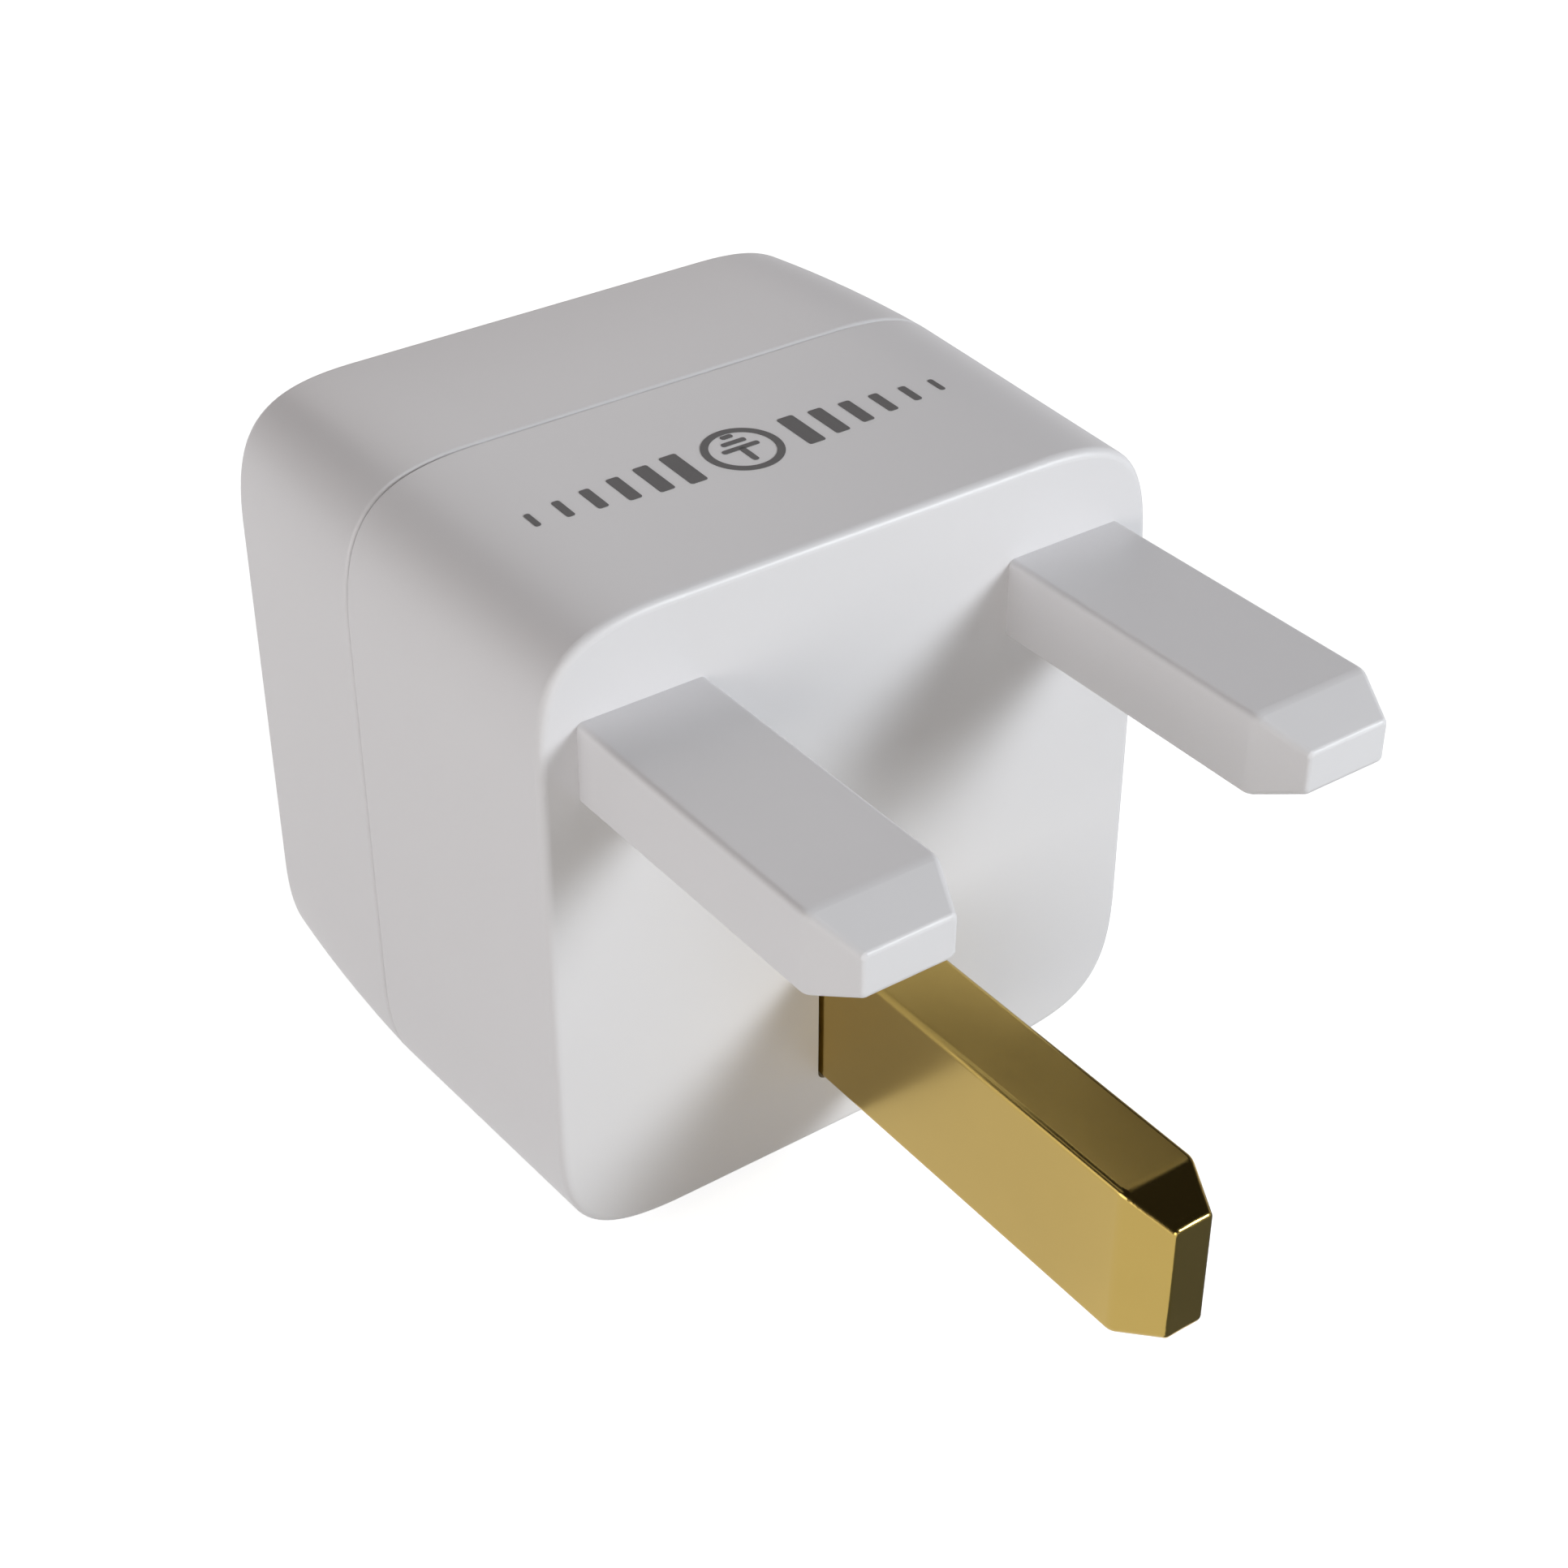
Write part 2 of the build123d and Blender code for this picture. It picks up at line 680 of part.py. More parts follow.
os.makedirs("parts", exist_ok=True)
for name, piece in pieces.items():
    export_step(piece, f"parts/{name}.step")
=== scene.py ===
"""Looks of a grounding plug adapter: finishes, printed mark, studio and camera.

The object is a small white moulded mains plug with dummy line and neutral pins, a brass
earth pin and a lead socket in its back. All places are in metres, in the frame's axes:
X across the pin face, Y into the body and Z up.
"""

import logging
from dataclasses import dataclass, field
from enum import Enum
from math import cos, radians, sin
from typing import Any

import bpy
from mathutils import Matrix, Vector


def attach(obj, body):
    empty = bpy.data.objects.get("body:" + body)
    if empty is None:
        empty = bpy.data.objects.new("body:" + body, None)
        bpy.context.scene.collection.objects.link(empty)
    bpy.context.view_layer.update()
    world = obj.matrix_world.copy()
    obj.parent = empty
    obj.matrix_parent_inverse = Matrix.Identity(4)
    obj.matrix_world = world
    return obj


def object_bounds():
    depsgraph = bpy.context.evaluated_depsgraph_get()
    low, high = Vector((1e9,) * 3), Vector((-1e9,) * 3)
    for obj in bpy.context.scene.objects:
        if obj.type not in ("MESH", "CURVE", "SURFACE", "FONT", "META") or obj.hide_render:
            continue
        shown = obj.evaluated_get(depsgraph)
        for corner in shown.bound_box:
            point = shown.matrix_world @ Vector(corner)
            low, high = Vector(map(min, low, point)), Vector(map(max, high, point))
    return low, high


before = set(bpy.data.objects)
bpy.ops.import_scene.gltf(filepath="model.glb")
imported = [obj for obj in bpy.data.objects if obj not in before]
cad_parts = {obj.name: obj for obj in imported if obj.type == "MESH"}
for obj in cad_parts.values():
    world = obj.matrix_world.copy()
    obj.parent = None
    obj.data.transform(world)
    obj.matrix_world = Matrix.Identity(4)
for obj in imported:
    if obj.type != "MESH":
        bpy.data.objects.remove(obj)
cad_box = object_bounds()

MM = 0.001
BODY = "root"
WHITE = "FFFFFF"
KEY_WHITE = "F4FBFF"
log = logging.getLogger("grounding_plug")


class Slot(Enum):
    """Material slots of the record, by their names there."""

    CASE = "white_abs"
    EARTH_PIN = "polished_brass"
    RETAINER = "natural_nylon"
    SCREWS = "zinc_steel"
    TAGS = "tinned_copper"
    CONDUCTOR = "bare_copper"
    INSULATION = "green_insulation"
    RESISTOR = "resistor_lacquer"
    SLEEVE = "shrink_sleeve"
    SOCKET = "nickel_plate"
    COLLAR = "black_nylon"
    PRINT = "print_ink"


class Grain(Enum):
    """Which way a fine pattern runs on a surface."""

    EVEN = "even"
    ALONG_Y = "along the pins"


def linear_colour(hex_text: str) -> tuple[float, float, float, float]:
    """Turns an sRGB hex colour to linear light.

    Args:
        hex_text: Six hex digits, red first.

    Returns:
        Red, green, blue and alpha for a shader's socket.
    """
    parts = [int(hex_text[place : place + 2], 16) / 255 for place in (0, 2, 4)]
    light = [part / 12.92 if part <= 0.04045 else ((part + 0.055) / 1.055) ** 2.4 for part in parts]
    return (light[0], light[1], light[2], 1.0)


def empty_tree(owner: bpy.types.Material | bpy.types.World) -> bpy.types.NodeTree:
    """Turns nodes on and takes the ones away that Blender adds by itself.

    Args:
        owner: Material or world that gets its own nodes.

    Returns:
        The empty node tree.
    """
    owner.use_nodes = True
    owner.node_tree.nodes.clear()
    return owner.node_tree


def add_node(
    tree: bpy.types.NodeTree,
    kind: str,
    settings: dict[str, Any] | None = None,
    sockets: dict[str | int, Any] | None = None,
) -> bpy.types.Node:
    """Adds a node, sets it up and links it.

    Args:
        tree: Node tree that gets the node.
        kind: Blender's name for the type of node.
        settings: Values for the node's own properties.
        sockets: Value or output socket for each input, by its name or number.

    Returns:
        The new node.
    """
    node = tree.nodes.new(kind)
    for name, value in (settings or {}).items():
        setattr(node, name, value)
    for name, value in (sockets or {}).items():
        if isinstance(value, bpy.types.NodeSocket):
            tree.links.new(value, node.inputs[name])
        else:
            node.inputs[name].default_value = value
    return node


@dataclass(frozen=True)
class Finish:
    """Finish of one real material: its colour, its gloss and a fine pattern of a real size.

    The grain is the fine pattern, which varies the gloss and the relief, and the mottle is
    the broad one, which varies the shade. grain_stretch is how many times longer the fine
    pattern is along the way that it runs.
    """

    name: str
    colour: str
    roughness: float
    ior: float = 1.5
    metallic: float = 0.0
    grain: Grain = Grain.EVEN
    grain_size: float = 0.15 * MM
    grain_stretch: float = 60.0
    grain_detail: float = 3.0
    grain_height: float = 0.0
    mottle: float = 0.02
    mottle_size: float = 4.0 * MM
    mottle_detail: float = 2.0
    roughness_spread: float = 0.04

    def pattern_scale(self) -> tuple[float, float, float]:
        """Works out the scale of the fine pattern.

        Returns:
            Repeats per metre along X, Y and Z.
        """
        fine = 1 / self.grain_size
        if self.grain is Grain.ALONG_Y:
            return (fine, fine / self.grain_stretch, fine)
        return (fine, fine, fine)

    def material(self) -> bpy.types.Material:
        """Builds the material.

        Returns:
            A material whose colour, roughness and relief vary as the real surface does.
        """
        made = bpy.data.materials.new(self.name)
        tree = empty_tree(made)
        place = add_node(tree, "ShaderNodeTexCoord").outputs["Object"]
        fine_place = add_node(
            tree, "ShaderNodeMapping", sockets={"Vector": place, "Scale": self.pattern_scale()}
        ).outputs["Vector"]
        fine = add_node(
            tree,
            "ShaderNodeTexNoise",
            sockets={"Vector": fine_place, "Scale": 1.0, "Detail": self.grain_detail},
        ).outputs["Fac"]
        broad = add_node(
            tree,
            "ShaderNodeTexNoise",
            sockets={"Vector": place, "Scale": 1 / self.mottle_size, "Detail": self.mottle_detail},
        ).outputs["Fac"]
        shade = add_node(
            tree,
            "ShaderNodeMapRange",
            sockets={"Value": broad, "To Min": 1 - self.mottle, "To Max": 1 + self.mottle},
        ).outputs["Result"]
        colour = add_node(
            tree,
            "ShaderNodeVectorMath",
            {"operation": "SCALE"},
            {0: linear_colour(self.colour)[:3], "Scale": shade},
        ).outputs["Vector"]
        gloss = add_node(
            tree,
            "ShaderNodeMapRange",
            sockets={
                "Value": fine,
                "To Min": self.roughness - self.roughness_spread,
                "To Max": self.roughness + self.roughness_spread,
            },
        ).outputs["Result"]
        shader = add_node(
            tree,
            "ShaderNodeBsdfPrincipled",
            sockets={
                "Base Color": colour,
                "Roughness": gloss,
                "Metallic": self.metallic,
                "IOR": self.ior,
            },
        )
        if self.grain_height:
            relief = add_node(
                tree,
                "ShaderNodeBump",
                sockets={"Height": fine, "Strength": 1.0, "Distance": self.grain_height},
            )
            tree.links.new(relief.outputs["Normal"], shader.inputs["Normal"])
        add_node(tree, "ShaderNodeOutputMaterial", sockets={"Surface": shader.outputs["BSDF"]})
        return made


# Moulded ABS: an opaque cool white with a satin skin, so edges glow and faces shade softly.
# The mould's real grain is finer than a pixel and is drawn coarser, so that it shows
CASE_ABS = Finish("moulded_abs", "DEDCDE", 0.4, grain_height=0.0004 * MM, mottle=0.006)

# Polished brass bar: warm gold that mirrors the studio a little blurred along its drawing lines
PIN_BRASS = Finish(
    "polished_brass_bar",
    "B79D58",
    0.2,
    metallic=1.0,
    grain=Grain.ALONG_Y,
    grain_size=0.06 * MM,
    roughness_spread=0.03,
)

# Natural nylon: slightly yellow, waxy and a little duller than the case
RETAINER_NYLON = Finish("natural_nylon", "E4DFCF", 0.45, ior=1.53, grain_height=0.001 * MM)

# Zinc plate on steel: bright bluish metal with a fine dull mottle
SCREW_ZINC = Finish(
    "zinc_plated_steel", "C6CBD2", 0.32, metallic=1.0, mottle=0.05, mottle_size=0.8 * MM
)

# Tinned copper strip: soft pale metal
TAG_TIN = Finish("tinned_copper", "D9D8D2", 0.35, metallic=1.0, mottle=0.05, mottle_size=0.6 * MM)

# Bare copper wire: salmon metal
WIRE_COPPER = Finish("bare_copper", "E09A74", 0.3, metallic=1.0, mottle=0.04, mottle_size=0.6 * MM)

# Green extruded PVC: smooth and slightly glossy
LEAD_PVC = Finish("green_pvc", "2F8F3E", 0.4, ior=1.53, mottle=0.04)

# Dipped lacquer on the resistor: pale blue and glossy
RESISTOR_LACQUER = Finish("resistor_lacquer", "7FA3BE", 0.22, mottle=0.04, mottle_size=1 * MM)

# Heat-shrunk polyolefin: near black and satin
SLEEVE_SHRINK = Finish("shrink_sleeve", "242426", 0.42, grain_height=0.001 * MM, mottle=0.05)

# Nickel plate on turned brass: warm white metal with a fine even sheen
SOCKET_NICKEL = Finish("nickel_plated_brass", "D2CBBF", 0.22, metallic=1.0, grain_size=0.08 * MM)

# Black nylon moulding: deep grey with a satin skin
COLLAR_NYLON = Finish("black_nylon", "26262A", 0.4, ior=1.53, grain_height=0.001 * MM, mottle=0.05)

# Pad-printed ink: flat dark grey, duller than the plastic that it lies on
PRINT_INK = Finish("pad_print_ink", "656364", 0.6, ior=1.48, mottle=0.03, mottle_size=0.5 * MM)

FINISHES = {
    Slot.CASE: CASE_ABS,
    Slot.EARTH_PIN: PIN_BRASS,
    Slot.RETAINER: RETAINER_NYLON,
    Slot.SCREWS: SCREW_ZINC,
    Slot.TAGS: TAG_TIN,
    Slot.CONDUCTOR: WIRE_COPPER,
    Slot.INSULATION: LEAD_PVC,
    Slot.RESISTOR: RESISTOR_LACQUER,
    Slot.SLEEVE: SLEEVE_SHRINK,
    Slot.SOCKET: SOCKET_NICKEL,
    Slot.COLLAR: COLLAR_NYLON,
    Slot.PRINT: PRINT_INK,
}


@dataclass
class Wardrobe:
    """Holds one material for each slot, built once and given to every piece that has the slot."""

    made: dict[Slot, bpy.types.Material] = field(default_factory=dict)

    def material(self, slot: Slot) -> bpy.types.Material:
        """Finds a slot's material, and builds it at its first use.

        Args:
            slot: The record's slot.

        Returns:
            The slot's one material.
        """
        if slot not in self.made:
            self.made[slot] = FINISHES[slot].material()
        return self.made[slot]

    def dress_node(self, name: str, slot: Slot) -> None:
        """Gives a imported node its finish.

        Args:
            name: Name of the node.
            slot: The record's slot that the node has.
        """
        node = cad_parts[name]
        for place in node.material_slots:
            place.material = self.material(slot)
        log.info("%s has %s", name, slot.value)


@dataclass
class SubAssembly:
    """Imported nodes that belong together, each with its slot."""

    slots: dict[str, Slot]

    def dress(self, wardrobe: Wardrobe) -> None:
        """Gives each node its finish."""
        for name, slot in self.slots.items():
            wardrobe.dress_node(name, slot)


@dataclass
class CaseMouldings(SubAssembly):
    """White case: the front half with its two moulded pins, and the rear cover."""

    slots: dict[str, Slot] = field(
        default_factory=lambda: {"front_housing": Slot.CASE, "rear_cover": Slot.CASE}
    )


@dataclass
class EarthContact(SubAssembly):
    """Brass earth pin with the bar, screws and ring terminal behind it."""

    slots: dict[str, Slot] = field(
        default_factory=lambda: {
            "earth_pin": Slot.EARTH_PIN,
            "earth_pin_retainer": Slot.RETAINER,
            "retainer_screws": Slot.SCREWS,
            "terminal_screw": Slot.SCREWS,
            "terminal_lock_washer": Slot.SCREWS,
            "ring_terminal": Slot.TAGS,
        }
    )


@dataclass
class BondingLead(SubAssembly):
    """Short lead inside the case, with its safety resistor and sleeve."""

    slots: dict[str, Slot] = field(
        default_factory=lambda: {
            "lead_conductor": Slot.CONDUCTOR,
            "lead_insulation": Slot.INSULATION,
            "safety_resistor": Slot.RESISTOR,
            "resistor_sleeve": Slot.SLEEVE,
        }
    )


@dataclass
class LeadSocket(SubAssembly):
    """Lead socket in the back wall, with its collar, washers, tag and nut."""

    slots: dict[str, Slot] = field(
        default_factory=lambda: {
            "socket_contact": Slot.SOCKET,
            "socket_collar": Slot.COLLAR,
            "socket_inner_washer": Slot.COLLAR,
            "solder_tag": Slot.TAGS,
            "socket_lock_washer": Slot.SOCKET,
            "socket_nut": Slot.SOCKET,
        }
    )


@dataclass
class PrintedMark:
    """Generic earth sign between tapering bars, printed on the case's upper side.

    The sign's stem points to the pins. The mark is modelled flat above the case, then laid
    on the case's surface and given the thickness of a printed layer. bar_taper is how many
    places out from the sign a side bar would have no width left.
    """

    middle_x: float = -0.4 * MM
    middle_y: float = 8.15 * MM
    ring_radius: float = 1.85 * MM
    ring_line: float = 0.36 * MM
    ring_points: int = 96
    stem_length: float = 1.25 * MM
    sign_line: float = 0.3 * MM
    sign_widths: tuple[float, ...] = (1.9 * MM, 1.25 * MM, 0.6 * MM)
    sign_pitch: float = 0.55 * MM
    bar_count: int = 6
    bar_start: float = 3.1 * MM
    bar_pitch: float = 1.5 * MM
    bar_width: float = 0.85 * MM
    bar_length: float = 2.6 * MM
    bar_fall: float = 0.3 * MM
    bar_taper: float = 7.5
    corner_round: float = 0.12 * MM
    corner_share: float = 0.45
    corner_steps: int = 5
    cuts: int = 2
    layer: float = 0.02 * MM
    sink: float = 0.004 * MM
    hover: float = 3.0 * MM

    def flat_bar(self, x: float, y: float, width: float, length: float) -> bpy.types.Object:
        """Models one bar with rounded corners, flat above the case.

        Args:
            x: Middle of the bar across the case.
            y: Middle of the bar from the pin face.
            width: Size along X.
            length: Size along Y.

        Returns:
            The flat bar.
        """
        top = cad_box[1].z + self.hover
        bpy.ops.object.select_all(action="DESELECT")
        bpy.ops.mesh.primitive_plane_add(size=1, location=(x, y, top))
        bar = bpy.context.object
        bpy.ops.object.mode_set(mode="EDIT")
        bpy.ops.transform.resize(value=(width, length, 1), center_override=(x, y, top))
        corner = min(self.corner_round, self.corner_share * min(width, length))
        bpy.ops.mesh.bevel(offset=corner, segments=self.corner_steps, affect="VERTICES")
        bpy.ops.object.mode_set(mode="OBJECT")
        return bar

    def flat_ring(self) -> bpy.types.Object:
        """Models the ring round the sign, flat above the case.

        Returns:
            The flat ring.
        """
        middle = (self.middle_x, self.middle_y, cad_box[1].z + self.hover)
        bpy.ops.object.select_all(action="DESELECT")
        bpy.ops.mesh.primitive_circle_add(
            vertices=self.ring_points, radius=self.ring_radius, location=middle
        )
        ring = bpy.context.object
        inner_share = 1 - self.ring_line / self.ring_radius
        bpy.ops.object.mode_set(mode="EDIT")
        bpy.ops.mesh.extrude_edges_move()
        bpy.ops.transform.resize(value=(inner_share, inner_share, 1), center_override=middle)
        bpy.ops.object.mode_set(mode="OBJECT")
        return ring

    def sign_bars(self) -> list[bpy.types.Object]:
        """Models the stem and the crossbars of the earth sign.

        Returns:
            The stem, then the crossbars from the widest to the narrowest.
        """
        first = self.middle_y + self.sign_line / 2
        stem_middle = first - self.stem_length / 2
        bars = [self.flat_bar(self.middle_x, stem_middle, self.sign_line, self.stem_length)]
        for place, width in enumerate(self.sign_widths):
            y = first + place * self.sign_pitch
            bars.append(self.flat_bar(self.middle_x, y, width, self.sign_line))
        return bars

    def side_bars(self) -> list[bpy.types.Object]:
        """Models the bars on both sides of the sign.

        Returns:
            The bars, shorter and thinner outwards.
        """
        bars = []
        for side in (-1, 1):
            for place in range(self.bar_count):
                x = self.middle_x + side * (self.bar_start + place * self.bar_pitch)
                width = self.bar_width * (1 - place / self.bar_taper)
                length = self.bar_length - place * self.bar_fall
                bars.append(self.flat_bar(x, self.middle_y, width, length))
        return bars

    def build(self, wardrobe: Wardrobe) -> None:
        """Models the mark, lays it on the case, thickens it and gives it its ink.

        Args:
            wardrobe: Holds the ink's material.
        """
        shapes = [self.flat_ring(), *self.sign_bars(), *self.side_bars()]
        bpy.ops.object.select_all(action="DESELECT")
        for shape in shapes:
            shape.select_set(True)
        bpy.context.view_layer.objects.active = shapes[0]
        bpy.ops.object.join()
        mark = bpy.context.object
        mark.name = "printed_mark"
        bpy.ops.object.transform_apply(location=True, rotation=True, scale=True)
        bpy.ops.object.mode_set(mode="EDIT")
        bpy.ops.mesh.select_all(action="SELECT")
        bpy.ops.mesh.quads_convert_to_tris()
        bpy.ops.mesh.subdivide(number_cuts=self.cuts)
        bpy.ops.mesh.normals_make_consistent(inside=False)
        bpy.ops.object.mode_set(mode="OBJECT")
        lay = mark.modifiers.new("lay on case", "SHRINKWRAP")
        lay.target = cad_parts["front_housing"]
        lay.wrap_method = "PROJECT"
        lay.use_project_z = True
        lay.use_negative_direction = True
        lay.use_positive_direction = False
        lay.offset = self.layer
        bpy.ops.object.modifier_apply(modifier=lay.name)
        thicken = mark.modifiers.new("layer", "SOLIDIFY")
        thicken.thickness = self.layer + self.sink
        thicken.offset = -1
        bpy.ops.object.modifier_apply(modifier=thicken.name)
        mark.data.materials.clear()
        mark.data.materials.append(wardrobe.material(Slot.PRINT))
        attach(mark, BODY)
        log.info("printed_mark has %d faces", len(mark.data.polygons))


@dataclass(frozen=True)
class SoftLamp:
    """Square soft lamp, placed by its angles as seen from the object.

    The bearing is in degrees from straight in front of the pins, positive towards +X, and
    the height is in degrees above the floor. Size is in metres and power in watts. A lamp
    that isn't mirrored lights the object, but no gloss or metal shows it.
    """

    name: str
    bearing: float
    height: float
    size: float
    power: float
    colour: str = WHITE
    mirrored: bool = True

    def direction(self) -> Vector:
        """Works out the way to the lamp.

        Returns:
            Unit direction from the object to the lamp.
        """
        turn = radians(self.bearing)
        rise = radians(self.height)
        return Vector((sin(turn) * cos(rise), -cos(turn) * cos(rise), sin(rise)))


@dataclass
class Studio:
    """Plain pale floor, a room-like world, soft lamps, and grey cards of painted shade for gloss
    and metal.

    A glow or level of 1 is white. The floor glows for the camera and for mirrored rays. The
    room's walls fade into its dark ceiling over a range of heights, given as the upward part
    of a unit direction, and its upper band only lights matt surfaces. The cards are painted
    shade: only mirrored rays see them, so gloss and metal mirror a darker floor in front of
    the pins and beside the case, in place of the shadow that the floor's glow doesn't keep.
    Each card is given by its left, front, right and back edge on the floor.
    """

    floor_size: float = 3.0
    floor_colour: str = "B3B3B3"
    seen_glow: float = 0.86
    far_glow: float = 1.0
    far_range: tuple[float, float] = (0.25, 0.6)
    mirrored_glow: float = 0.8
    room_colour: str = "FFF3EE"
    wall_level: float = 0.27
    wall_range: tuple[float, float] = (0.27, 0.43)
    upper_level: float = 0.2
    upper_range: tuple[float, float] = (0.6, 0.8)
    ceiling_level: float = 0.02
    # painted shade: grey of the cards that mirrored rays see in place of the floor's shadow
    shade_card_colour: str = "808488"
    shade_card_lift: float = 0.5 * MM
    # painted shade: where the grey cards lie, in front of the pins and beside the case
    shade_card_boxes: tuple[tuple[float, float, float, float], ...] = (
        (-3 * MM, -130 * MM, 160 * MM, -24 * MM),
        (4 * MM, -24 * MM, 160 * MM, -14 * MM),
        (18 * MM, -1 * MM, 160 * MM, 160 * MM),
    )
    lamp_distance: float = 0.35
    lamps: tuple[SoftLamp, ...] = (
        SoftLamp("right_key_lamp", 45, 20, 0.07, 0.099, KEY_WHITE),
        SoftLamp("middle_key_lamp", 37, 24, 0.07, 0.287, KEY_WHITE),
        SoftLamp("left_key_lamp", 30, 28, 0.07, 0.252, KEY_WHITE),
        SoftLamp("low_key_lamp", 30, 18, 0.07, 0.204, KEY_WHITE),
        SoftLamp("front_fill_lamp", -30, 8, 0.16, 0.285, "FFFFF8"),
        SoftLamp("left_fill_lamp", -84, 8, 0.22, 0.455),
        SoftLamp("far_left_fill_lamp", -110, 8, 0.16, 0.115),
        SoftLamp("right_fill_lamp", 105, 18, 0.2, 0.24, mirrored=False),
        SoftLamp("back_lamp", 160, 35, 0.2, 0.222, "FFFBF9"),
        SoftLamp("low_back_lamp", 180, 3, 0.07, 0.25, mirrored=False),
    )

    def floor_material(self) -> bpy.types.Material:
        """Builds the floor's material: pale, with a glow that far away is as white as the world.

        Returns:
            A material that keeps the object's shadow close by and shows no edge far away.
        """
        made = bpy.data.materials.new("studio_floor")
        tree = empty_tree(made)
        path = add_node(tree, "ShaderNodeLightPath")
        place = add_node(tree, "ShaderNodeTexCoord").outputs["Object"]
        distance = add_node(
            tree, "ShaderNodeVectorMath", {"operation": "LENGTH"}, {0: place}
        ).outputs["Value"]
        seen = add_node(
            tree,
            "ShaderNodeMapRange",
            {"interpolation_type": "SMOOTHSTEP"},
            {
                "Value": distance,
                "From Min": self.far_range[0],
                "From Max": self.far_range[1],
                "To Min": self.seen_glow,
                "To Max": self.far_glow,
            },
        ).outputs["Result"]
        mirrored = add_node(
            tree,
            "ShaderNodeMath",
            {"operation": "MULTIPLY"},
            {0: path.outputs["Is Glossy Ray"], 1: self.mirrored_glow},
        ).outputs["Value"]
        glow = add_node(
            tree,
            "ShaderNodeMath",
            {"operation": "MULTIPLY_ADD"},
            {0: path.outputs["Is Camera Ray"], 1: seen, 2: mirrored},
        ).outputs["Value"]
        matt = add_node(
            tree, "ShaderNodeBsdfDiffuse", sockets={"Color": linear_colour(self.floor_colour)}
        ).outputs["BSDF"]
        light = add_node(
            tree, "ShaderNodeEmission", sockets={"Strength": glow}
        ).outputs["Emission"]
        both = add_node(tree, "ShaderNodeAddShader", sockets={0: matt, 1: light})
        add_node(tree, "ShaderNodeOutputMaterial", sockets={"Surface": both.outputs["Shader"]})
        return made

    def build_floor(self) -> None:
        """Lays the floor under the object's lowest point."""
        lowest, highest = cad_box
        middle = (lowest + highest) / 2
        bpy.ops.object.select_all(action="DESELECT")
        bpy.ops.mesh.primitive_plane_add(
            size=self.floor_size, location=(middle.x, middle.y, lowest.z)
        )
        floor = bpy.context.object
        floor.name = "studio_floor"
        floor.data.materials.append(self.floor_material())

    def build_shade_cards(self) -> None:
        """Lays grey cards of painted shade on the floor by the pins, which only mirrored rays see.
        """
        # painted shade: a grey sheet, seen only by mirrored rays, that darkens the floor where its
        # glow keeps no shadow
        made = bpy.data.materials.new("painted_shade_material")
        tree = empty_tree(made)
        matt = add_node(
            tree, "ShaderNodeBsdfDiffuse", sockets={"Color": linear_colour(self.shade_card_colour)}
        )
        add_node(tree, "ShaderNodeOutputMaterial", sockets={"Surface": matt.outputs["BSDF"]})
        for left, front, right, back in self.shade_card_boxes:
            middle = ((left + right) / 2, (front + back) / 2, cad_box[0].z + self.shade_card_lift)
            bpy.ops.object.select_all(action="DESELECT")
            bpy.ops.mesh.primitive_plane_add(size=1, location=middle)
            card = bpy.context.object
            card.name = "painted_shade_card"
            card.scale = (right - left, back - front, 1)
            card.data.materials.append(made)
            card.visible_camera = False
            card.visible_diffuse = False
            card.visible_transmission = False
            card.visible_shadow = False

    def room_band(
        self,
        tree: bpy.types.NodeTree,
        height: bpy.types.NodeSocket,
        level: float,
        reach: tuple[float, float],
    ) -> bpy.types.NodeSocket:
        """Adds a band of the room's light that fades into the dark ceiling.

        Args:
            tree: The world's node tree.
            height: Upward part of a ray's unit direction.
            level: Light of the band below its fade.
            reach: Heights at which the fade starts and ends.

        Returns:
            The band's light at the height.
        """
        return add_node(
            tree,
            "ShaderNodeMapRange",
            {"interpolation_type": "SMOOTHSTEP"},
            {
                "Value": height,
                "From Min": reach[0],
                "From Max": reach[1],
                "To Min": level,
                "To Max": self.ceiling_level,
            },
        ).outputs["Result"]

    def build_world(self) -> None:
        """White to the camera, and a room with pale walls and a dark ceiling to all else."""
        world = bpy.data.worlds.new("studio_world")
        bpy.context.scene.world = world
        tree = empty_tree(world)
        path = add_node(tree, "ShaderNodeLightPath")
        way = add_node(tree, "ShaderNodeTexCoord").outputs["Generated"]
        height = add_node(tree, "ShaderNodeSeparateXYZ", sockets={"Vector": way}).outputs["Z"]
        wall = self.room_band(tree, height, self.wall_level, self.wall_range)
        upper = self.room_band(tree, height, self.upper_level, self.upper_range)
        spread = add_node(
            tree,
            "ShaderNodeMath",
            {"operation": "MULTIPLY"},
            {0: upper, 1: path.outputs["Is Diffuse Ray"]},
        ).outputs["Value"]
        room = add_node(
            tree, "ShaderNodeMath", {"operation": "MAXIMUM"}, {0: wall, 1: spread}
        ).outputs["Value"]
        shown = add_node(
            tree,
            "ShaderNodeMath",
            {"operation": "MAXIMUM"},
            {0: path.outputs["Is Camera Ray"], 1: path.outputs["Is Transmission Ray"]},
        ).outputs["Value"]
        room_light = add_node(
            tree,
            "ShaderNodeBackground",
            sockets={"Color": linear_colour(self.room_colour), "Strength": room},
        ).outputs["Background"]
        white_light = add_node(
            tree,
            "ShaderNodeBackground",
            sockets={"Color": linear_colour(WHITE), "Strength": 1.0},
        ).outputs["Background"]
        light = add_node(
            tree, "ShaderNodeMixShader", sockets={"Fac": shown, 1: room_light, 2: white_light}
        )
        add_node(tree, "ShaderNodeOutputWorld", sockets={"Surface": light.outputs["Shader"]})

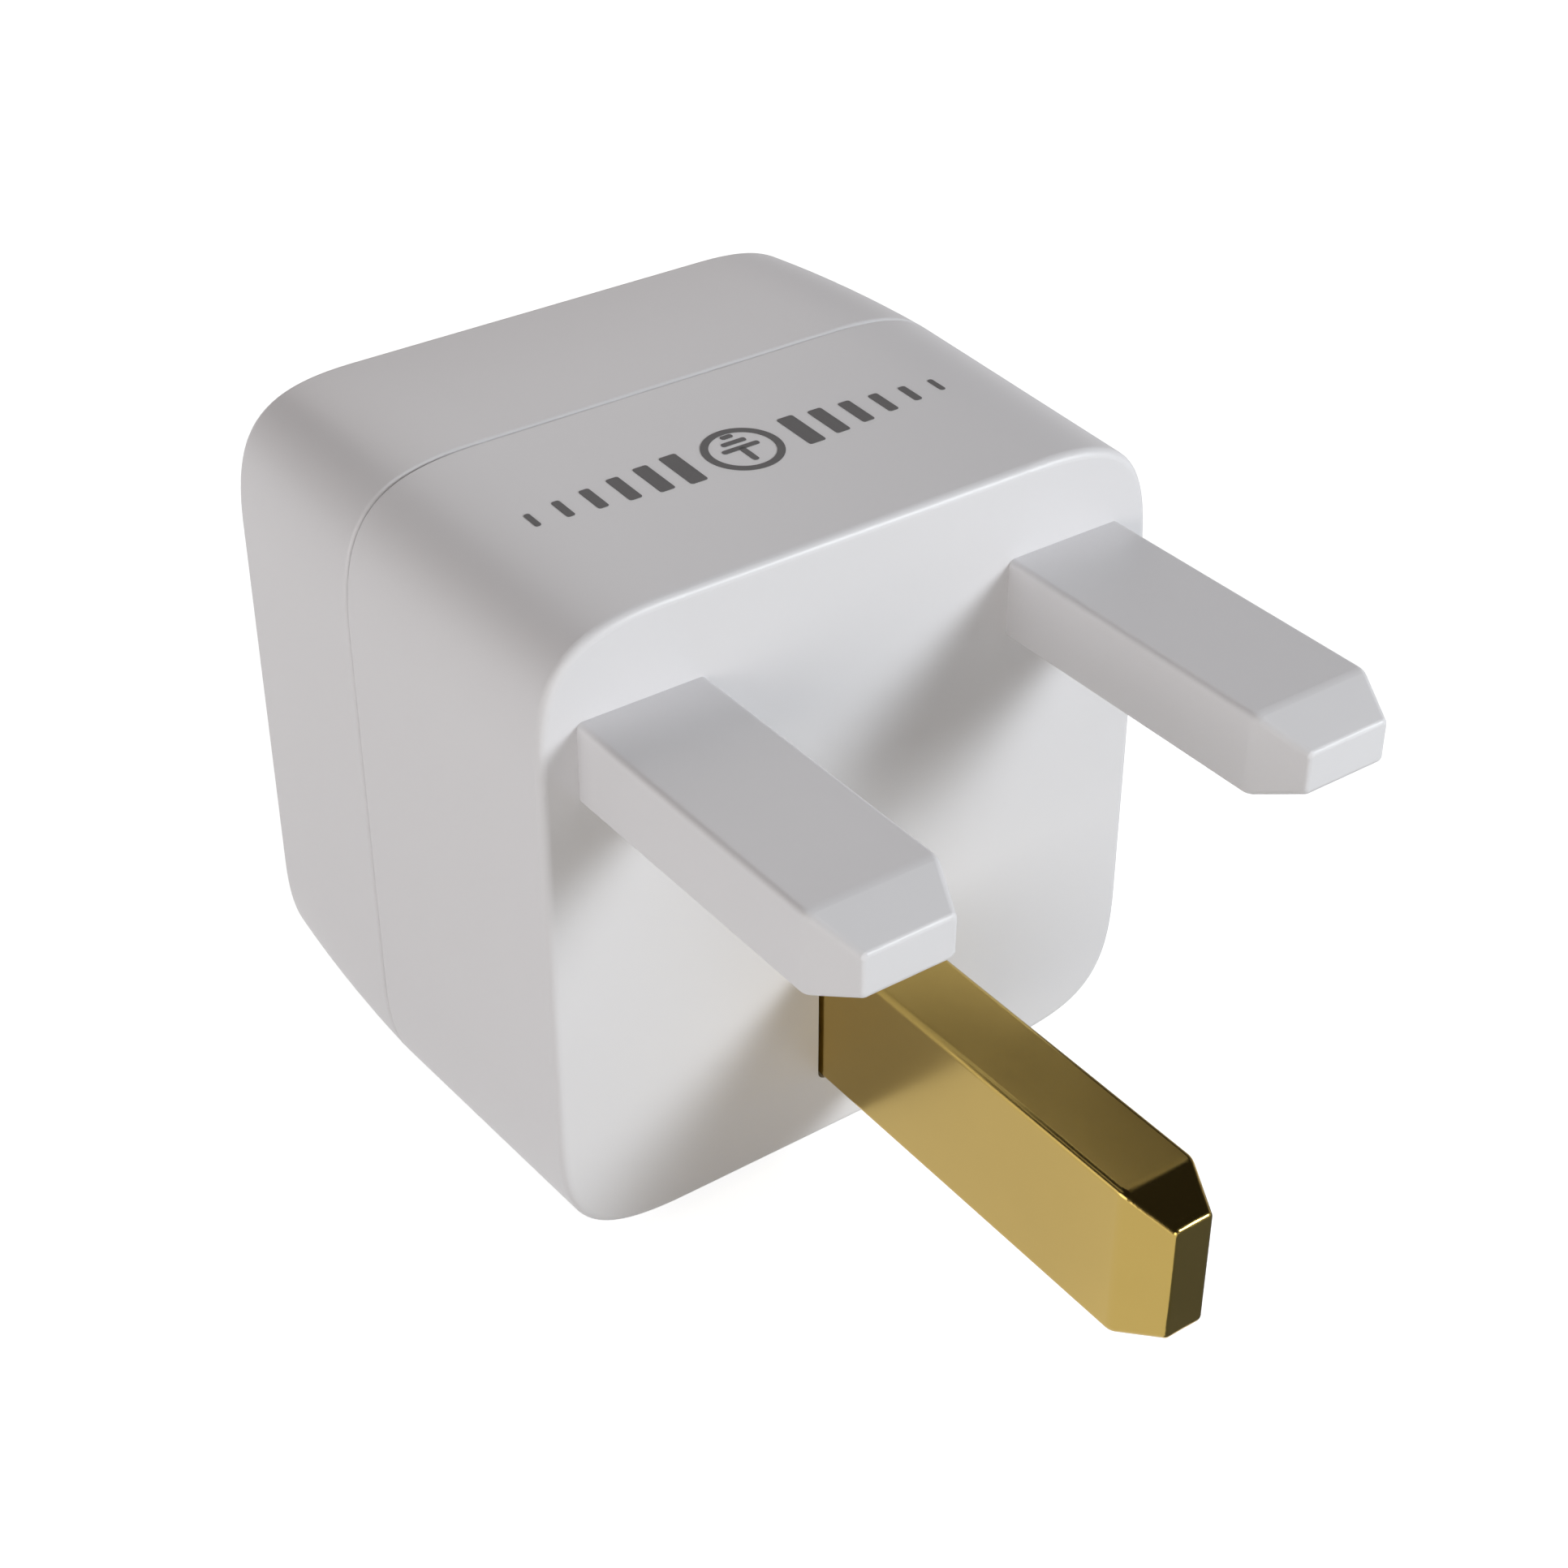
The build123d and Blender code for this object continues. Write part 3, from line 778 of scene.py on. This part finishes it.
    def add_lamp(self, soft: SoftLamp) -> None:
        """Adds one square soft lamp that faces the object.

        Args:
            soft: The lamp's place, size, power and colour.
        """
        lamp = bpy.data.lights.new(soft.name, "AREA")
        lamp.shape = "SQUARE"
        lamp.size = soft.size
        lamp.energy = soft.power
        lamp.color = linear_colour(soft.colour)[:3]
        holder = bpy.data.objects.new(soft.name, lamp)
        holder.visible_glossy = soft.mirrored
        bpy.context.scene.collection.objects.link(holder)
        away = soft.direction()
        holder.location = (cad_box[0] + cad_box[1]) / 2 + away * self.lamp_distance
        holder.rotation_mode = "QUATERNION"
        holder.rotation_quaternion = away.to_track_quat("Z", "Y")

    def build(self) -> None:
        """Builds floor, painted shade cards, world and lamps."""
        self.build_floor()
        self.build_shade_cards()
        self.build_world()
        for soft in self.lamps:
            self.add_lamp(soft)
        log.info("studio is built")


@dataclass
class ViewCamera:
    """Camera at the photograph's place, fitted to the pins, faces and outline.

    The aim is the direction of its view, focal_pixels its focal length in an image that is
    image_pixels wide, and sensor the sensor's width in millimetres.
    """

    place: tuple[float, float, float] = (-61.561 * MM, -79.863 * MM, 72.38 * MM)
    aim: tuple[float, float, float] = (0.48165, 0.66926, -0.56578)
    focal_pixels: float = 3438.7
    image_pixels: float = 1932.0
    sensor: float = 36.0
    clip_near: float = 1 * MM
    clip_far: float = 10.0

    def build(self) -> None:
        """Adds the camera and makes it the scene's own."""
        data = bpy.data.cameras.new("view_camera")
        data.sensor_width = self.sensor
        data.lens = self.focal_pixels / self.image_pixels * self.sensor
        data.clip_start = self.clip_near
        data.clip_end = self.clip_far
        camera = bpy.data.objects.new("view_camera", data)
        bpy.context.scene.collection.objects.link(camera)
        camera.location = self.place
        camera.rotation_mode = "QUATERNION"
        camera.rotation_quaternion = Vector(self.aim).to_track_quat("-Z", "Y")
        bpy.context.scene.camera = camera
        log.info("camera has a %.2f mm lens", data.lens)


def main() -> None:
    """Builds the camera, dresses each sub-assembly and sets the studio."""
    logging.basicConfig(level=logging.INFO, format="%(name)s: %(message)s")
    bpy.context.scene.view_settings.view_transform = "Standard"
    ViewCamera().build()
    wardrobe = Wardrobe()
    for assembly in (CaseMouldings(), EarthContact(), BondingLead(), LeadSocket()):
        assembly.dress(wardrobe)
    PrintedMark().build(wardrobe)
    Studio().build()


if __name__ == "__main__":
    main()
